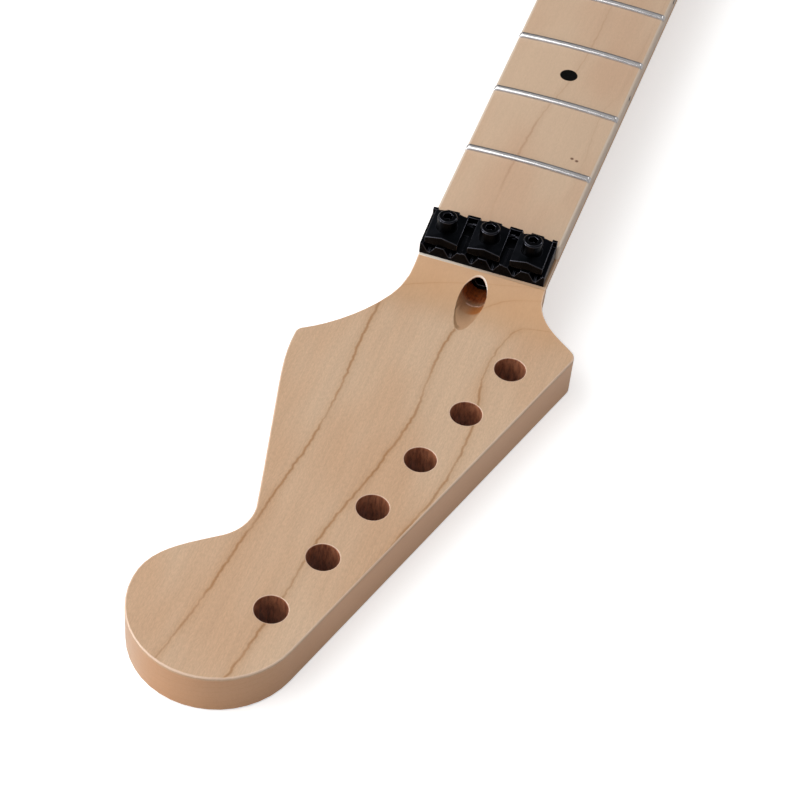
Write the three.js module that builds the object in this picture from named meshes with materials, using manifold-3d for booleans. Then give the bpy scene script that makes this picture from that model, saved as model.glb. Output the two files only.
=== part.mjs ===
// Electric guitar neck: a bolt-on maple neck with a glued maple fretboard, 22 frets, a two-way truss rod that is
// adjusted from the headstock, and a black three-clamp locking nut.
// Millimetres. +X runs from the heel to the headstock, +Y to the bass side (the tuner side), +Z out of the fretboard.
// The origin is on the heel's flat back, at the centre of the four neck screws.
import * as THREE from "three";
import { mergeVertices } from "three/addons/utils/BufferGeometryUtils.js";
import Module from "manifold-3d";

const wasm = await Module();
wasm.setup();

// Scale, frets and the board
const scaleLength = 648;
const fretCount = 22;
const boardPastLastFret = 8;
const boardThickness = 6;
const boardRadius = 305;
const nutWidth = 43.2;
const heelWidth = 56;

// The heel
const heelThickness = 25.4;
const boardOverhang = 11;
const heelBlockLength = 74;
const heelCornerRadius = 3;
const heelRampLength = 30;
const neckScrewFromEnd = 13;
const neckScrewSpacingLong = 50.8;
const neckScrewSpacingWide = 38.1;
const neckScrewPilotRadius = 1.6;
const neckScrewPilotDepth = 15;

// The shaft's rounded back
const shaftThicknessNut = 20.6;
const shaftThicknessHeel = 22.8;
const shaftRoundness = 2.3;
const sideFlat = 0.1;

// The headstock, measured from the nut's fretboard edge and from the centre line. Seen from above, its treble side
// runs out to a horn, back in to a waist and round a ball at the tip, and its bass side starts at an ear.
const headstockLength = 196.7;
const headstockThickness = 14.8;
const shelfLength = 15;
const faceCurveRadius = 31.7;
const flareStart = 17;
const flareSpread = 0.3;
const backSweepStart = 14;
const backSweepLength = 54;
const backSpreadStart = 10;
const backSpreadLength = 30;
const ballRadius = 26.4;
const hornStation = 57.9;
const hornReach = 47.9;
const hornRadius = 3.3;
const hornAngle = THREE.MathUtils.degToRad(57.5);
const waistStation = 134.7;
const waistReach = 32.8;
const waistRadius = 14.6;
const waistEnterAngle = THREE.MathUtils.degToRad(12.7);
const waistLeaveAngle = THREE.MathUtils.degToRad(51.7);
const earRadius = 4;
const earAngle = THREE.MathUtils.degToRad(50.5);

// The tuner holes
const tunerCount = 6;
const tunerHoleRadius = 5;
const tunerPitch = 24.5;
const tunerLineAngle = THREE.MathUtils.degToRad(-17);
const firstTunerStation = 49.5;
const firstTunerReach = 20.6;
const tunerToEdge = 13.4;
const earPastFirstTuner = 18.2;

// Frets and position markers
const crownWidth = 2.8;
const crownHeight = 1.3;
const tangWidth = 0.55;
const tangDepth = 1.8;
const fretEndBevel = 0.9;
const markerRadius = 3.1;
const markerThickness = 1.5;
const markerPairReach = 11;
const sideMarkerRadius = 1;
const sideMarkerLength = 2.5;
const sideMarkerDrop = 3;
const sideMarkerPairSpacing = 7;
const markerFrets = [3, 5, 7, 9, 12, 15, 17, 19, 21];
const pairedFret = 12;

// The two-way truss rod
const rodAxisDrop = 5.5;
const rodFromHeelEnd = 37.6;
const rodRadius = 2.4;
const rodBarWidth = 6;
const rodBlockLength = 9;
const rodBlockDepth = 6;
const adjusterRadius = 4;
const adjusterLength = 20;
const adjusterInset = 1.5;
const adjusterKeyFlats = 4;
const adjusterSocketDepth = 7;
const boreRadius = 4.5;
const scoopAngle = THREE.MathUtils.degToRad(15);
const scoopEnd = 39.6;

// The locking nut sits a little towards the treble side. Its clamp pads and their screws stand on a sloping seat.
const nutLength = 42.6;
const nutDepth = 13.9;
const nutShift = -0.6;
const stringCount = 6;
const stringPitch = 7.25;
const nutWallHeight = 9.3;
const nutWallDepth = 1.2;
const slotSeatHeight = 7.1;
const slotSeatHalfWidth = 0.8;
const slotMouthHalfWidth = 1.5;
const seatHeight = 5.7;
const seatAngle = THREE.MathUtils.degToRad(11);
const grooveFloorHeight = 1.2;
const grooveHalfWidth = 2.3;
const grooveFloorHalfWidth = 0.4;
const grooveLength = 6.4;
const padWidth = 11.2;
const padLength = 11.7;
const padEdgeThickness = 2.4;
const padRidgeRise = 1.2;
const clampScrewRadius = 2;
const clampScrewLength = 7;
const clampHeadRadius = 3.3;
const clampHeadHeight = 4.8;
const clampHeadChamfer = 0.45;
const clampHeadRecess = 1.1;
const clampKeyFlats = 3;
const clampSocketDepth = 2.4;
const nutScrewFromWall = 2.9;
const nutScrewRadius = 1.3;
const nutScrewHeadRadius = 2.5;
const nutScrewHeadHeight = 1.7;
const nutScrewLength = 15.5;
const nutScrewRecess = 0.3;

// Clearances, the overrun of every cut, and how finely round forms are faceted
const fitGap = 0.1;
const seatGap = 0.05;
const touchGap = 0.3;
const overrun = 1;
const flatOverrun = 0.4;
const holeSides = 24;
const pinSides = 16;
const boardStrips = 12;

// Places that follow from the sizes above
const fretDistance = (n) => scaleLength * (1 - 2 ** (-n / 12));
const boardEnd = fretDistance(fretCount) + boardPastLastFret;
const heelEnd = boardEnd - boardOverhang;
const nutX = heelEnd - neckScrewFromEnd - neckScrewSpacingLong / 2;
const heelEndX = nutX - heelEnd;
const boardEndX = nutX - boardEnd;
const glueZ = heelThickness - boardThickness;
const headFaceZ = headstockThickness;
const tipX = nutX + headstockLength;
const shelfEndX = nutX + shelfLength;
const rodZ = glueZ - rodAxisDrop;
const halfWidthAt = (x) => (nutWidth + ((heelWidth - nutWidth) * (nutX - x)) / boardEnd) / 2;
const crownDrop = (y) => boardRadius - Math.sqrt(boardRadius ** 2 - y ** 2);
const fretX = (n) => nutX - fretDistance(n);

const maple = new THREE.MeshStandardMaterial({ color: 0xcdaa86, roughness: 0.55, metalness: 0 });
const boardMaple = new THREE.MeshStandardMaterial({ color: 0xd6b596, roughness: 0.35, metalness: 0 });
const nickel = new THREE.MeshStandardMaterial({ color: 0xc9c9cc, roughness: 0.22, metalness: 1 });
const blackInlay = new THREE.MeshStandardMaterial({ color: 0x141311, roughness: 0.4, metalness: 0 });
const blackSteel = new THREE.MeshStandardMaterial({ color: 0x17171a, roughness: 0.35, metalness: 0.7 });
const plainSteel = new THREE.MeshStandardMaterial({ color: 0x8c8c90, roughness: 0.4, metalness: 1 });
const brass = new THREE.MeshStandardMaterial({ color: 0xb08d4a, roughness: 0.4, metalness: 1 });

// Solids: a closed three.js geometry goes in, joins and cuts are made, and a three.js geometry comes out.
function solid(geometry) {
  const bare = geometry.index ? geometry.toNonIndexed() : geometry.clone();
  bare.deleteAttribute("normal");
  bare.deleteAttribute("uv");
  const merged = mergeVertices(bare, 1e-4);
  const mesh = new wasm.Mesh({
    numProp: 3,
    vertProperties: merged.attributes.position.array,
    triVerts: new Uint32Array(merged.index.array),
  });
  return new wasm.Manifold(mesh);
}

function geometryOf(body) {
  const mesh = body.getMesh();
  const points = new Float32Array(mesh.numVert * 3);
  for (let i = 0; i < mesh.numVert; i++) {
    points.set(mesh.vertProperties.subarray(i * mesh.numProp, i * mesh.numProp + 3), i * 3);
  }
  const geometry = new THREE.BufferGeometry();
  geometry.setAttribute("position", new THREE.BufferAttribute(points, 3));
  geometry.setIndex(new THREE.BufferAttribute(new Uint32Array(mesh.triVerts), 1));
  const flat = geometry.toNonIndexed();
  flat.computeVertexNormals();
  return flat;
}

const group = new THREE.Group();

function addPiece(name, body, material) {
  const mesh = new THREE.Mesh(geometryOf(body), material);
  mesh.name = name;
  group.add(mesh);
}

// Prisms: a shape drawn in two of the neck's axes, pushed along the third.
function prism(shape, depth, curveSegments = 12) {
  return new THREE.ExtrudeGeometry(shape, { depth, bevelEnabled: false, curveSegments });
}

function prismUp(shape, lowZ, highZ, curveSegments) {
  return solid(prism(shape, highZ - lowZ, curveSegments).translate(0, 0, lowZ));
}

const sectionAxes = new THREE.Matrix4().makeBasis(
  new THREE.Vector3(0, 1, 0),
  new THREE.Vector3(0, 0, 1),
  new THREE.Vector3(1, 0, 0),
);

function prismAlong(shape, lowX, highX) {
  return prism(shape, highX - lowX).applyMatrix4(sectionAxes).translate(lowX, 0, 0);
}

const sideAxes = new THREE.Matrix4().makeBasis(
  new THREE.Vector3(1, 0, 0),
  new THREE.Vector3(0, 0, 1),
  new THREE.Vector3(0, -1, 0),
);

function prismAcross(shape, lowY, highY, curveSegments) {
  return prism(shape, highY - lowY, curveSegments).applyMatrix4(sideAxes).translate(0, highY, 0);
}

function polygon(points) {
  return new THREE.Shape(points.map(([a, b]) => new THREE.Vector2(a, b)));
}

function box(lowX, highX, lowY, highY, lowZ, highZ) {
  const geometry = new THREE.BoxGeometry(highX - lowX, highY - lowY, highZ - lowZ);
  return solid(geometry.translate((lowX + highX) / 2, (lowY + highY) / 2, (lowZ + highZ) / 2));
}

function postUp(x, y, lowZ, highZ, radius, sides = holeSides, topRadius = radius) {
  const geometry = new THREE.CylinderGeometry(topRadius, radius, highZ - lowZ, sides);
  return solid(geometry.rotateX(Math.PI / 2).translate(x, y, (lowZ + highZ) / 2));
}

function rodAlong(lowX, highX, y, z, radius, sides = holeSides) {
  const geometry = new THREE.CylinderGeometry(radius, radius, highX - lowX, sides);
  return solid(geometry.rotateZ(Math.PI / 2).translate((lowX + highX) / 2, y, z));
}

function hexShape(acrossFlats) {
  const corner = acrossFlats / 2 / Math.cos(Math.PI / 6);
  const points = [];
  for (let i = 0; i < 6; i++) {
    points.push([corner * Math.cos((i * Math.PI) / 3), corner * Math.sin((i * Math.PI) / 3)]);
  }
  return polygon(points);
}

const along = (angle, length) => new THREE.Vector2(Math.cos(angle), Math.sin(angle)).multiplyScalar(length);

// The outline of the neck seen from above, heel to headstock, drawn round from the heel's treble corner.
const tunerDirection = along(tunerLineAngle, 1);
const tunerOutward = along(tunerLineAngle + Math.PI / 2, 1);
const firstTuner = new THREE.Vector2(nutX + firstTunerStation, firstTunerReach);

function ballCentre() {
  const offset = tunerOutward.clone().multiplyScalar(tunerToEdge - ballRadius);
  const run = (tipX - ballRadius - firstTuner.x - offset.x) / tunerDirection.x;
  return firstTuner.clone().add(offset).addScaledVector(tunerDirection, run);
}

function roundCorner(shape, corner, fromAngle, toAngle, radius) {
  const turn = toAngle - fromAngle;
  const back = radius * Math.tan(Math.abs(turn) / 2);
  const enter = corner.clone().sub(along(fromAngle, back));
  const side = Math.sign(turn);
  const centre = enter.clone().add(along(fromAngle + (side * Math.PI) / 2, radius));
  const start = fromAngle - (side * Math.PI) / 2;
  shape.lineTo(enter.x, enter.y);
  shape.absarc(centre.x, centre.y, radius, start, start + turn, side < 0);
}

// A cubic curve that leaves by its first handle and arrives at a point along an angle.
function curveTo(shape, [handleX, handleY], end, angle, reach) {
  const arrive = end.clone().sub(along(angle, reach));
  shape.bezierCurveTo(handleX, handleY, arrive.x, arrive.y, end.x, end.y);
}

function neckOutline() {
  const flareX = nutX + flareStart;
  const flareHalf = halfWidthAt(nutX) + flareSpread;
  const shape = new THREE.Shape();
  shape.moveTo(heelEndX + heelCornerRadius, -halfWidthAt(heelEndX));
  shape.lineTo(nutX, -halfWidthAt(nutX));
  shape.lineTo(flareX, -flareHalf);

  const flareShare = 0.41;
  const hornShare = 0.29;
  const horn = new THREE.Vector2(nutX + hornStation, -hornReach);
  const hornEnter = horn.clone().sub(along(-hornAngle, hornRadius * Math.tan(hornAngle / 2)));
  const flareRun = hornEnter.x - flareX;
  curveTo(shape, [flareX + flareRun * flareShare, -flareHalf], hornEnter, -hornAngle, flareRun * hornShare);
  roundCorner(shape, horn, -hornAngle, 0, hornRadius);

  const bellyShare = 0.23;
  const edgeShare = 0.7;
  const waist = new THREE.Vector2(nutX + waistStation, -waistReach - waistRadius);
  const waistEnter = waist.clone().add(along(Math.PI / 2 + waistEnterAngle, waistRadius));
  const edgeRun = waistEnter.x - horn.x;
  curveTo(shape, [horn.x + edgeRun * bellyShare, horn.y], waistEnter, waistEnterAngle, edgeRun * edgeShare);
  const waistFrom = Math.PI / 2 + waistEnterAngle;
  const waistTo = Math.PI / 2 - waistLeaveAngle;
  shape.absarc(waist.x, waist.y, waistRadius, waistFrom, waistTo, true);

  const waistShare = 0.47;
  const ballShare = 0.48;
  const ball = ballCentre();
  const waistLeave = waist.clone().add(along(waistTo, waistRadius));
  const ballRun = ball.x - waistLeave.x;
  const waistHandle = waistLeave.clone().add(along(-waistLeaveAngle, ballRun * waistShare));
  const ballLow = new THREE.Vector2(ball.x, ball.y - ballRadius);
  curveTo(shape, [waistHandle.x, waistHandle.y], ballLow, 0, ballRun * ballShare);
  shape.absarc(ball.x, ball.y, ballRadius, -Math.PI / 2, Math.PI / 2 + tunerLineAngle, false);

  const earShare = 0.42;
  const earFlareShare = 0.45;
  const ear = firstTuner.clone().addScaledVector(tunerOutward, tunerToEdge);
  ear.addScaledVector(tunerDirection, -earPastFirstTuner);
  roundCorner(shape, ear, Math.PI + tunerLineAngle, Math.PI + earAngle, earRadius);
  const earLeave = ear.clone().sub(along(earAngle, earRadius * Math.tan((earAngle - tunerLineAngle) / 2)));
  const earRun = earLeave.x - flareX;
  const earHandle = earLeave.clone().sub(along(earAngle, earRun * earShare));
  const flareEnd = new THREE.Vector2(flareX, flareHalf);
  curveTo(shape, [earHandle.x, earHandle.y], flareEnd, Math.PI, earRun * earFlareShare);

  shape.lineTo(nutX, halfWidthAt(nutX));
  const cornerX = heelEndX + heelCornerRadius;
  const cornerY = halfWidthAt(heelEndX) - heelCornerRadius;
  shape.lineTo(cornerX, cornerY + heelCornerRadius);
  shape.absarc(cornerX, cornerY, heelCornerRadius, Math.PI / 2, Math.PI, false);
  shape.absarc(cornerX, -cornerY, heelCornerRadius, Math.PI, Math.PI * 1.5, false);
  return shape;
}

// The carved back: a half-disc is pushed from the heel to the tip, and each of its rings is reshaped. Along the
// shaft the rings are round; at the heel and the headstock they open out into a flat board, cut level at z = 0.
const smooth = (t) => THREE.MathUtils.smoothstep(t, 0, 1);

function backStations() {
  const rampTopX = heelEndX + heelBlockLength + heelRampLength;
  const rampSteps = 6;
  const sweepSteps = 12;
  const stations = [heelEndX - overrun];
  for (let i = 0; i <= rampSteps; i++) {
    stations.push(rampTopX - heelRampLength * (1 - i / rampSteps));
  }
  for (let i = 0; i <= sweepSteps; i++) {
    stations.push(nutX - backSweepStart + (backSweepLength * i) / sweepSteps);
  }
  stations.push(tipX + overrun);
  return stations;
}

function ringAt(x) {
  const boardRoundness = 9;
  const heelward = smooth((heelEndX + heelBlockLength + heelRampLength - x) / heelRampLength);
  const headward = smooth((x - nutX + backSweepStart) / backSweepLength);
  const spread = Math.max(heelward, smooth((x - nutX - backSpreadStart) / backSpreadLength));
  const towardsHeel = THREE.MathUtils.clamp((nutX - x) / heelEnd, 0, 1);
  const thickness = THREE.MathUtils.lerp(shaftThicknessNut, shaftThicknessHeel, towardsHeel) - boardThickness;
  return {
    depth: THREE.MathUtils.lerp(thickness, glueZ + flatOverrun, Math.max(heelward, headward)),
    half: THREE.MathUtils.lerp(halfWidthAt(x) + sideFlat, hornReach + ballRadius, spread ** 2),
    power: 2 / THREE.MathUtils.lerp(shaftRoundness, boardRoundness, spread),
  };
}

function carvedBack() {
  const stations = backStations();
  const arcSteps = 16;
  const halfDisc = [];
  for (let i = 0; i <= arcSteps; i++) {
    const angle = (Math.PI * i) / arcSteps;
    halfDisc.push([-Math.cos(angle), -Math.sin(angle)]);
  }
  const steps = stations.length - 1;
  const geometry = new THREE.ExtrudeGeometry(polygon(halfDisc), { depth: steps, steps, bevelEnabled: false });
  const position = geometry.attributes.position;
  for (let i = 0; i < position.count; i++) {
    const x = stations[Math.round(position.getZ(i))];
    const ring = ringAt(x);
    const across = position.getX(i);
    const down = -position.getY(i);
    const nearlyZero = 1e-6;
    const y = Math.sign(across) * Math.abs(across) ** ring.power * ring.half;
    const z = down < nearlyZero ? glueZ : glueZ - down ** ring.power * ring.depth;
    position.setXYZ(i, x, y, z);
  }
  return solid(geometry);
}

function faceCut() {
  const drop = glueZ - headFaceZ;
  const run = Math.sqrt(faceCurveRadius ** 2 - (faceCurveRadius - drop) ** 2);
  const centreX = shelfEndX + run;
  const startAngle = Math.atan2(-(faceCurveRadius - drop), -run);
  const profile = new THREE.Shape();
  profile.moveTo(shelfEndX, glueZ + overrun);
  profile.lineTo(shelfEndX, glueZ);
  profile.absarc(centreX, headFaceZ + faceCurveRadius, faceCurveRadius, startAngle, -Math.PI / 2, false);
  profile.lineTo(tipX + overrun, headFaceZ);
  profile.lineTo(tipX + overrun, glueZ + overrun);
  const reach = hornReach + ballRadius;
  return solid(prismAcross(profile, -reach, reach, 8));
}

const adjusterFaceX = shelfEndX - adjusterInset;
const adjusterBackX = adjusterFaceX - adjusterLength;
const rodEndX = heelEndX + rodFromHeelEnd;

// The rod's channel under the board, the adjuster's bore, and the scoop whose floor rises from the bore to the face
function rodCuts() {
  const pocketX = adjusterBackX - touchGap;
  const half = rodBarWidth / 2 + fitGap;
  const floor = rodZ - rodBlockDepth / 2 - touchGap;
  const channel = box(rodEndX - touchGap, pocketX + overrun, -half, half, floor, glueZ + overrun);
  const scoopRun = (headFaceZ - rodZ + boreRadius) / Math.tan(scoopAngle);
  const floorX = nutX + scoopEnd - scoopRun;
  const bore = rodAlong(pocketX, floorX + boreRadius / 2, 0, rodZ, boreRadius);
  const scoopLength = scoopRun + boreRadius * 4;
  const scoop = new THREE.CylinderGeometry(boreRadius, boreRadius, scoopLength, holeSides);
  scoop.rotateZ(Math.PI / 2).translate(scoopLength / 2, 0, boreRadius).rotateY(-scoopAngle);
  return [channel, bore, solid(scoop.translate(floorX, 0, rodZ - boreRadius))];
}

const nutBackX = nutX + touchGap;
const nutFrontX = nutBackX + nutDepth;
const seatBackX = nutBackX + nutWallDepth;
const nutScrewX = seatBackX + nutScrewFromWall;
const nutScrewY = (side) => nutShift + side * stringPitch;

function makeNeckBlank() {
  let blank = prismUp(neckOutline(), 0, glueZ, 10).intersect(carvedBack());
  const cuts = [faceCut(), ...rodCuts()];
  for (let i = 0; i < tunerCount; i++) {
    const hole = firstTuner.clone().addScaledVector(tunerDirection, tunerPitch * i);
    cuts.push(postUp(hole.x, hole.y, -overrun, glueZ, tunerHoleRadius));
  }
  for (const side of [-1, 1]) {
    const pilotLow = glueZ + seatHeight - nutScrewLength - touchGap;
    cuts.push(postUp(nutScrewX, nutScrewY(side), pilotLow, glueZ + overrun, nutScrewRadius + fitGap, pinSides));
    for (const end of [-1, 1]) {
      const x = (end * neckScrewSpacingLong) / 2;
      const y = (side * neckScrewSpacingWide) / 2;
      cuts.push(postUp(x, y, -overrun, neckScrewPilotDepth, neckScrewPilotRadius, pinSides));
    }
  }
  for (const cut of cuts) blank = blank.subtract(cut);
  addPiece("neck_blank", blank, maple);
}

// Where the inlays sit: midway between their fret and the one before it.
function markerPlaces() {
  const places = [];
  for (const fret of markerFrets) {
    const x = (fretX(fret) + fretX(fret - 1)) / 2;
    const label = String(fret).padStart(2, "0");
    if (fret === pairedFret) {
      places.push({ name: label + "_treble", x, y: -markerPairReach, sideX: x - sideMarkerPairSpacing / 2 });
      places.push({ name: label + "_bass", x, y: markerPairReach, sideX: x + sideMarkerPairSpacing / 2 });
    } else {
      places.push({ name: label, x, y: 0, sideX: x });
    }
  }
  return places;
}

const sideMarkerZ = heelThickness - sideMarkerDrop;

function sideMarker(x, radius, lowY, highY) {
  const pin = new THREE.CylinderGeometry(radius, radius, highY - lowY, pinSides);
  return solid(pin.translate(x, (lowY + highY) / 2, sideMarkerZ));
}

function crownProfile() {
  const points = [];
  const widest = halfWidthAt(boardEndX) + overrun;
  for (let i = 0; i <= boardStrips; i++) {
    const y = widest * ((2 * i) / boardStrips - 1);
    points.push([y, heelThickness - crownDrop(y)]);
  }
  return points;
}

function makeFretboard() {
  const top = crownProfile();
  const widest = top[boardStrips][0];
  const section = polygon([[-widest, glueZ], [widest, glueZ], ...top.reverse()]);
  const outline = polygon([
    [boardEndX, -halfWidthAt(boardEndX)],
    [nutX, -halfWidthAt(nutX)],
    [nutX, halfWidthAt(nutX)],
    [boardEndX, halfWidthAt(boardEndX)],
  ]);
  let board = solid(prismAlong(section, boardEndX, nutX));
  board = board.intersect(prismUp(outline, glueZ - overrun, heelThickness + overrun));
  const cuts = [];
  for (let n = 1; n <= fretCount; n++) {
    const half = tangWidth / 2 + seatGap;
    const floor = heelThickness - crownDrop(halfWidthAt(fretX(n))) - tangDepth - touchGap;
    cuts.push(box(fretX(n) - half, fretX(n) + half, -heelWidth, heelWidth, floor, heelThickness + overrun));
  }
  for (const place of markerPlaces()) {
    const top = heelThickness - crownDrop(Math.abs(place.y) + markerRadius);
    cuts.push(postUp(place.x, place.y, top - markerThickness, heelThickness + overrun, markerRadius + seatGap));
    const edge = halfWidthAt(place.sideX);
    cuts.push(sideMarker(place.sideX, sideMarkerRadius + seatGap, edge - sideMarkerLength, edge + overrun));
  }
  for (const cut of cuts) board = board.subtract(cut);
  addPiece("fretboard", board, boardMaple);
}

// A fret is a bent T: a domed crown on the board's curve and a tang in its slot, with both ends bevelled.
function fretCrown(x, half) {
  const domeSteps = 6;
  const dome = [];
  for (let i = 0; i <= domeSteps; i++) {
    const angle = (Math.PI * i) / domeSteps;
    dome.push([(crownWidth / 2) * Math.cos(angle), crownHeight * Math.sin(angle)]);
  }
  const options = { depth: 2 * half, steps: boardStrips, bevelEnabled: false };
  const crown = new THREE.ExtrudeGeometry(polygon(dome), options).applyMatrix4(sideAxes).translate(x, half, 0);
  const position = crown.attributes.position;
  for (let i = 0; i < position.count; i++) {
    const y = position.getY(i);
    const height = position.getZ(i);
    const atEnd = Math.abs(y) > half - seatGap;
    const inset = atEnd ? fretEndBevel * (height / crownHeight) : 0;
    position.setY(i, y - Math.sign(y) * inset);
    position.setZ(i, height + heelThickness + seatGap - crownDrop(y));
  }
  return solid(crown);
}

function makeFret(n) {
  const x = fretX(n);
  const half = halfWidthAt(x);
  const tangHalf = half - fretEndBevel / 2;
  const tangTop = heelThickness - crownDrop(tangHalf) + crownHeight / 2;
  const tangLow = heelThickness - crownDrop(half) - tangDepth;
  const tang = box(x - tangWidth / 2, x + tangWidth / 2, -tangHalf, tangHalf, tangLow, tangTop);
  addPiece("fret_" + String(n).padStart(2, "0"), fretCrown(x, half).add(tang), nickel);
}

function makeMarkers() {
  for (const place of markerPlaces()) {
    const flush = heelThickness - crownDrop(Math.abs(place.y) + markerRadius);
    const top = postUp(place.x, place.y, flush - markerThickness + seatGap, flush, markerRadius);
    addPiece("marker_" + place.name, top, blackInlay);
    const edge = halfWidthAt(place.sideX);
    const pin = sideMarker(place.sideX, sideMarkerRadius, edge - sideMarkerLength + seatGap, edge);
    addPiece("side_marker_" + place.name, pin, blackInlay);
  }
}

// The truss rod: a flat bar over a threaded rod, joined by a block at each end. The rod turns with its adjuster.
function makeTrussRod() {
  const nutBlockX = adjusterBackX - touchGap;
  const blockTop = rodZ + rodBlockDepth / 2;
  const blockLow = rodZ - rodBlockDepth / 2;
  const half = rodBarWidth / 2 - seatGap;
  for (const [name, highX] of [["nut", nutBlockX], ["heel", rodEndX + rodBlockLength]]) {
    const lowX = highX - rodBlockLength;
    const hole = rodAlong(lowX - overrun, highX + overrun, 0, rodZ, rodRadius + fitGap);
    addPiece("truss_rod_block_" + name, box(lowX, highX, -half, half, blockLow, blockTop).subtract(hole), brass);
  }
  const bar = box(rodEndX, nutBlockX, -half, half, blockTop + fitGap, glueZ - fitGap);
  addPiece("truss_rod_bar", bar, plainSteel);
  const shaft = rodAlong(rodEndX, adjusterBackX - fitGap, 0, rodZ, rodRadius, pinSides);
  addPiece("truss_rod_shaft", shaft, plainSteel);
  const socket = prismAlong(hexShape(adjusterKeyFlats), adjusterFaceX - adjusterSocketDepth, adjusterFaceX + overrun);
  const barrel = rodAlong(adjusterBackX, adjusterFaceX, 0, rodZ, adjusterRadius);
  addPiece("truss_rod_adjuster", barrel.subtract(solid(socket.translate(0, 0, rodZ))), blackSteel);
}

// The locking nut is drawn with its underside at z = 0 and lifted onto the shelf. Its wall follows the curve of the
// strings, and so do the three seats in steps: one seat, pad and screw for each pair of strings.
const clampX = seatBackX + touchGap + padLength / 2;
const clampNames = ["treble", "middle", "bass"];
const stringY = (i) => (i - (stringCount - 1) / 2) * stringPitch;
const clampY = (clamp) => (clamp - 1) * 2 * stringPitch;
const clampOf = (string) => Math.floor(string / 2);
const seatAt = (x, clamp) => seatHeight - crownDrop(clampY(clamp)) - (x - clampX) * Math.tan(seatAngle);

// Leans a level prism over along the strings.
function lean(geometry, angle, aboutX) {
  const position = geometry.attributes.position;
  for (let i = 0; i < position.count; i++) {
    position.setZ(i, position.getZ(i) - (position.getX(i) - aboutX) * Math.tan(angle));
  }
  return geometry;
}

function addNutPiece(name, body) {
  addPiece(name, body.translate([0, nutShift, glueZ]), blackSteel);
}

function notchedWall() {
  const half = nutLength / 2;
  const points = [[-half, 0], [half, 0], [half, nutWallHeight - crownDrop(half)]];
  for (let i = stringCount - 1; i >= 0; i--) {
    const y = stringY(i);
    const shoulder = (reach) => [y + reach, nutWallHeight - crownDrop(y + reach)];
    const seat = slotSeatHeight - crownDrop(y);
    points.push(shoulder(slotMouthHalfWidth), [y + slotSeatHalfWidth, seat]);
    points.push([y - slotSeatHalfWidth, seat], shoulder(-slotMouthHalfWidth));
  }
  points.push([-half, nutWallHeight - crownDrop(half)]);
  return polygon(points);
}

// The seats are the top of a slab that leans along the strings, over a level bed.
function seatSlab() {
  const half = nutLength / 2;
  const middle = seatAt(clampX, 1);
  const outer = seatAt(clampX, 0);
  const section = polygon([
    [-half, grooveFloorHeight / 2],
    [half, grooveFloorHeight / 2],
    [half, outer],
    [stringPitch, outer],
    [stringPitch, middle],
    [-stringPitch, middle],
    [-stringPitch, outer],
    [-half, outer],
  ]);
  const bed = box(nutBackX, nutFrontX, -half, half, 0, middle + nutDepth);
  const slab = solid(lean(prismAlong(section, nutBackX, nutFrontX), seatAngle, clampX)).intersect(bed);
  return slab.add(box(nutBackX, nutFrontX, -half, half, 0, grooveFloorHeight));
}

function nutGroove(string) {
  const y = stringY(string);
  const edge = seatAt(nutFrontX, clampOf(string));
  const spread = (grooveHalfWidth - grooveFloorHalfWidth) / (edge - grooveFloorHeight);
  const top = grooveFloorHeight + nutWallHeight;
  const topHalf = grooveFloorHalfWidth + spread * nutWallHeight;
  const section = polygon([
    [y - grooveFloorHalfWidth, grooveFloorHeight],
    [y + grooveFloorHalfWidth, grooveFloorHeight],
    [y + topHalf, top],
    [y - topHalf, top],
  ]);
  const angle = Math.atan2(seatAt(nutFrontX - grooveLength, clampOf(string)) - grooveFloorHeight, grooveLength);
  return solid(lean(prismAlong(section, nutFrontX - grooveLength, nutFrontX + overrun), angle, nutFrontX));
}

const nutScrewTop = seatAt(nutScrewX, 0) - nutScrewRecess;

function makeNutBase() {
  let base = seatSlab().add(solid(prismAlong(notchedWall(), nutBackX, seatBackX)));
  const cuts = [];
  for (let i = 0; i < stringCount; i++) cuts.push(nutGroove(i));
  for (let i = 0; i < clampNames.length; i++) {
    cuts.push(postUp(clampX, clampY(i), -overrun, nutWallHeight, clampScrewRadius + fitGap, pinSides));
  }
  for (const side of [-1, 1]) {
    const y = side * stringPitch;
    const headTop = nutScrewTop + fitGap;
    const throat = nutScrewRadius + fitGap;
    const mouth = nutScrewHeadRadius + fitGap;
    cuts.push(postUp(nutScrewX, y, -overrun, nutWallHeight, throat, pinSides));
    cuts.push(postUp(nutScrewX, y, headTop - nutScrewHeadHeight, headTop, throat, pinSides, mouth));
    cuts.push(postUp(nutScrewX, y, headTop, nutWallHeight, mouth, pinSides));
  }
  for (const cut of cuts) base = base.subtract(cut);
  addNutPiece("nut_base", base);
}

function makeNutScrew(side, name) {
  const y = side * stringPitch;
  const headLow = nutScrewTop - nutScrewHeadHeight;
  const head = postUp(nutScrewX, y, headLow, nutScrewTop, nutScrewRadius, pinSides, nutScrewHeadRadius);
  const shankTop = headLow + nutScrewHeadHeight / 2;
  const shank = postUp(nutScrewX, y, seatHeight - nutScrewLength, shankTop, nutScrewRadius, pinSides);
  addNutPiece(name, head.add(shank));
}

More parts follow.
